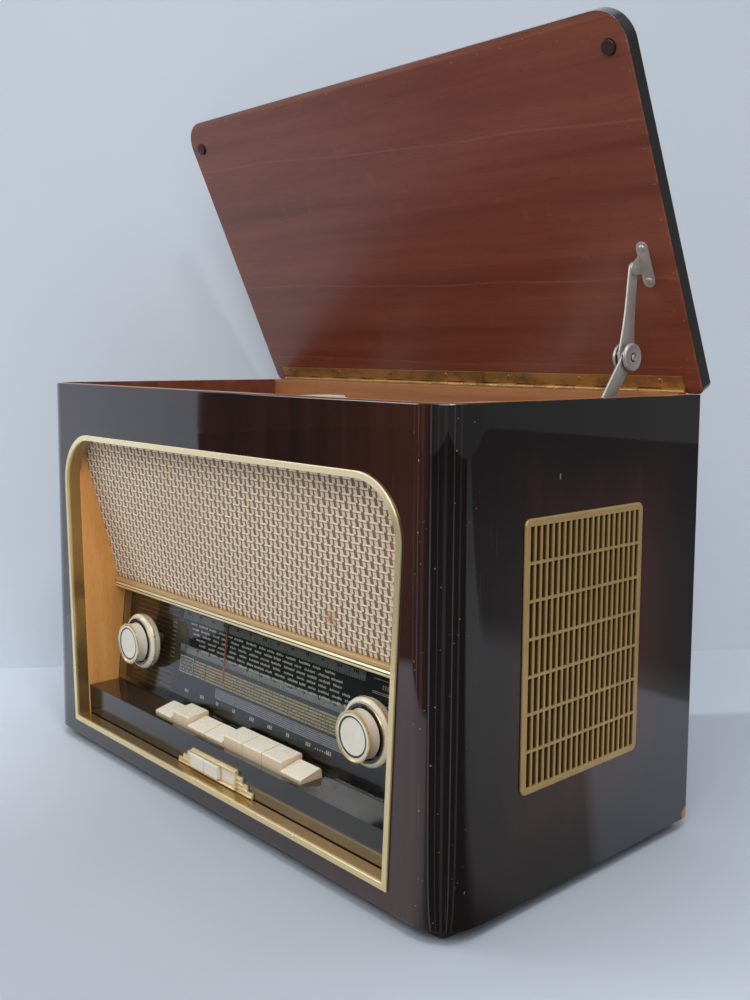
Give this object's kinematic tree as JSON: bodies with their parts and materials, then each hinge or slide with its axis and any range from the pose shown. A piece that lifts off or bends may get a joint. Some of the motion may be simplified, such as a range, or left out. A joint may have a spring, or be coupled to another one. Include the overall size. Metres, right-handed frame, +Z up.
{
  "type": "table radio with record player",
  "caption": "Table-top radio cabinet with a hinged lid over a record player, sloping cloth, dial, piano keys, double knobs and side grilles.",
  "frame": {"origin": "on the floor under the middle of the part with its lid open", "axes": "+X right, +Y back, +Z up, front towards -Y"},
  "size_m": [0.634, 0.3406, 0.7117],
  "materials": {
    "lacquer": "high-gloss dark lacquer",
    "inner_wood": "satin stained wood",
    "cheek_lacquer": "satin amber lacquer",
    "fibreboard": "matt pressed board",
    "gilt": "polished",
    "gilt_moulding": "metallised",
    "cloth": "woven",
    "clear_glass": "clear",
    "dial_print": "printed",
    "pointer_paint": "satin",
    "black_gloss": "gloss",
    "ivory": "gloss",
    "plated_steel": "passivated",
    "lamination": "varnished",
    "cast_alloy": "satin",
    "deck_paint": "hammered paint",
    "speaker_frame": "painted",
    "nickel": "nickel plated",
    "aged_brass": "aged",
    "rubber": "matt",
    "phenolic": "matt"
  },
  "bodies": {
    "cabinet": {"front_panel": "lacquer", "side_panel_left": "lacquer", "side_panel_right": "lacquer", "bottom_board": "inner_wood", "rear_rail": "inner_wood", "motor_board": "inner_wood", "baffle_board": "inner_wood", "cheeks": "cheek_lacquer", "back_cover": "fibreboard", "opening_trim": "gilt", "cloth_bar": "gilt", "button_frame": "gilt", "side_grille_left": "gilt_moulding", "side_grille_right": "gilt_moulding", "speaker_cloth": "cloth", "dial_glass": "clear_glass", "valves": "clear_glass", "dial_plate": "dial_print", "apron": "black_gloss", "chassis": "plated_steel", "key_switch": "plated_steel", "control_pots": "plated_steel", "spindle": "plated_steel", "hinge_pin": "plated_steel", "transformers": "lamination", "deck_motor": "cast_alloy", "deck_plate": "deck_paint", "speakers": "speaker_frame", "stay_anchor": "nickel", "hinge_rail_leaf": "aged_brass", "feet": "rubber", "socket_panel": "phenolic"},
    "lid": {"lid_panel": "lacquer", "lid_buffers": "rubber", "hinge_lid_leaf": "aged_brass", "stay_bracket": "nickel"},
    "stay_upper": {"stay_upper_arm": "nickel"},
    "stay_lower": {"stay_lower_arm": "nickel"},
    "volume": {"volume_knob": "ivory"},
    "bass": {"bass_knob": "ivory"},
    "tuning": {"tuning_knob": "ivory"},
    "treble": {"treble_knob": "ivory"},
    "pointer": {"dial_pointer": "pointer_paint"},
    "drum": {"tuning_drum": "phenolic"},
    "turntable": {"platter": "cast_alloy", "platter_mat": "rubber"},
    "arm_post": {"tonearm_post": "cast_alloy"},
    "arm": {"tonearm": "ivory"},
    "speed": {"speed_lever": "phenolic"},
    "piano_key_1": {"key_1": "ivory"},
    "piano_key_2": {"key_2": "ivory"},
    "piano_key_3": {"key_3": "ivory"},
    "piano_key_4": {"key_4": "ivory"},
    "piano_key_5": {"key_5": "ivory"},
    "piano_key_6": {"key_6": "ivory"},
    "piano_key_7": {"key_7": "ivory"},
    "piano_key_8": {"key_8": "ivory"},
    "button_1": {"tone_button_1": "ivory"},
    "button_2": {"tone_button_2": "ivory"},
    "button_3": {"tone_button_3": "ivory"}
  },
  "joints": [
    {"name": "lid_hinge", "type": "hinge", "parent": "cabinet", "child": "lid", "pos_m": [0, 0.15615, 0.4015], "axis": [-1, 0, 0], "range_deg": [-65, 0]},
    {"name": "stay_upper_pivot", "type": "hinge", "parent": "lid", "child": "stay_upper", "pos_m": [0.279, 0.09758, 0.50935], "axis": [1, 0, 0], "range_deg": [0, 26]},
    {"name": "stay_lower_pivot", "type": "hinge", "parent": "cabinet", "child": "stay_lower", "pos_m": [0.279, 0.05445, 0.3892], "axis": [1, 0, 0], "range_deg": [-54, 0]},
    {"name": "volume_turn", "type": "hinge", "parent": "cabinet", "child": "volume", "pos_m": [-0.1846, -0.14335, 0.1222], "axis": [0, 1, 0], "range_deg": [-135, 135]},
    {"name": "bass_turn", "type": "hinge", "parent": "cabinet", "child": "bass", "pos_m": [-0.1846, -0.14335, 0.1222], "axis": [0, 1, 0], "range_deg": [-135, 135]},
    {"name": "treble_turn", "type": "hinge", "parent": "cabinet", "child": "treble", "pos_m": [0.1846, -0.14335, 0.1222], "axis": [0, 1, 0], "range_deg": [-135, 135]},
    {"name": "tuning_turn", "type": "hinge", "parent": "cabinet", "child": "tuning", "pos_m": [0.1846, -0.14335, 0.1222], "axis": [0, 1, 0], "range_deg": [-429, 1036]},
    {"name": "pointer_slide", "type": "slide", "parent": "cabinet", "child": "pointer", "axis": [1, 0, 0], "range_m": [-0.085, 0.205]},
    {"name": "drum_turn", "type": "hinge", "parent": "cabinet", "child": "drum", "pos_m": [0.105, -0.05835, 0.115], "axis": [0, 1, 0], "range_deg": [-145, 347]},
    {"name": "platter_spin", "type": "hinge", "parent": "cabinet", "child": "turntable", "pos_m": [-0.06, -0.00785, 0.35], "axis": [0, 0, 1], "continuous": true},
    {"name": "arm_swing", "type": "hinge", "parent": "cabinet", "child": "arm_post", "pos_m": [0.125, 0.07665, 0.35], "axis": [0, 0, -1], "range_deg": [0, 47]},
    {"name": "arm_lift", "type": "hinge", "parent": "arm_post", "child": "arm", "pos_m": [0.125, 0.07665, 0.38], "axis": [-0.9984, 0.0558, 0], "range_deg": [0, 15]},
    {"name": "speed_select", "type": "hinge", "parent": "cabinet", "child": "speed", "pos_m": [-0.19, -0.11635, 0.35], "axis": [0, 0, 1], "range_deg": [-30, 30]},
    {"name": "key_1_press", "type": "hinge", "parent": "cabinet", "child": "piano_key_1", "pos_m": [-0.10675, -0.08635, 0.05], "axis": [1, 0, 0], "range_deg": [-6.4, 0]},
    {"name": "key_2_press", "type": "hinge", "parent": "cabinet", "child": "piano_key_2", "pos_m": [-0.07625, -0.08635, 0.05], "axis": [1, 0, 0], "range_deg": [0, 6.4], "stiffness_Nm_per_rad": 0.5, "springref_deg": -5.73},
    {"name": "key_3_press", "type": "hinge", "parent": "cabinet", "child": "piano_key_3", "pos_m": [-0.04575, -0.08635, 0.05], "axis": [1, 0, 0], "range_deg": [-6.4, 0]},
    {"name": "key_4_press", "type": "hinge", "parent": "cabinet", "child": "piano_key_4", "pos_m": [-0.01525, -0.08635, 0.05], "axis": [1, 0, 0], "range_deg": [-6.4, 0]},
    {"name": "key_5_press", "type": "hinge", "parent": "cabinet", "child": "piano_key_5", "pos_m": [0.01525, -0.08635, 0.05], "axis": [1, 0, 0], "range_deg": [0, 6.4], "stiffness_Nm_per_rad": 0.5, "springref_deg": -5.73},
    {"name": "key_6_press", "type": "hinge", "parent": "cabinet", "child": "piano_key_6", "pos_m": [0.04575, -0.08635, 0.05], "axis": [1, 0, 0], "range_deg": [0, 6.4], "stiffness_Nm_per_rad": 0.5, "springref_deg": -5.73},
    {"name": "key_7_press", "type": "hinge", "parent": "cabinet", "child": "piano_key_7", "pos_m": [0.07625, -0.08635, 0.05], "axis": [1, 0, 0], "range_deg": [0, 6.4], "stiffness_Nm_per_rad": 0.5, "springref_deg": -5.73},
    {"name": "key_8_press", "type": "hinge", "parent": "cabinet", "child": "piano_key_8", "pos_m": [0.10675, -0.08635, 0.05], "axis": [1, 0, 0], "range_deg": [-6.4, 0]},
    {"name": "button_1_press", "type": "slide", "parent": "cabinet", "child": "button_1", "axis": [0, 1, 0], "range_m": [0, 0.004], "stiffness_N_per_m": 200, "springref_m": -0.002},
    {"name": "button_2_press", "type": "slide", "parent": "cabinet", "child": "button_2", "axis": [0, 1, 0], "range_m": [0, 0.004], "stiffness_N_per_m": 200, "springref_m": -0.002},
    {"name": "button_3_press", "type": "slide", "parent": "cabinet", "child": "button_3", "axis": [0, 1, 0], "range_m": [-0.004, 0]}
  ],
  "couplings": [
    {"joint": "stay_upper_pivot", "follows": "lid_hinge", "ratio": -0.38565},
    {"joint": "stay_lower_pivot", "follows": "lid_hinge", "ratio": 0.81678},
    {"joint": "pointer_slide", "follows": "tuning_turn", "m_per_rad": 0.011333},
    {"joint": "drum_turn", "follows": "tuning_turn", "ratio": 0.33333}
  ]
}
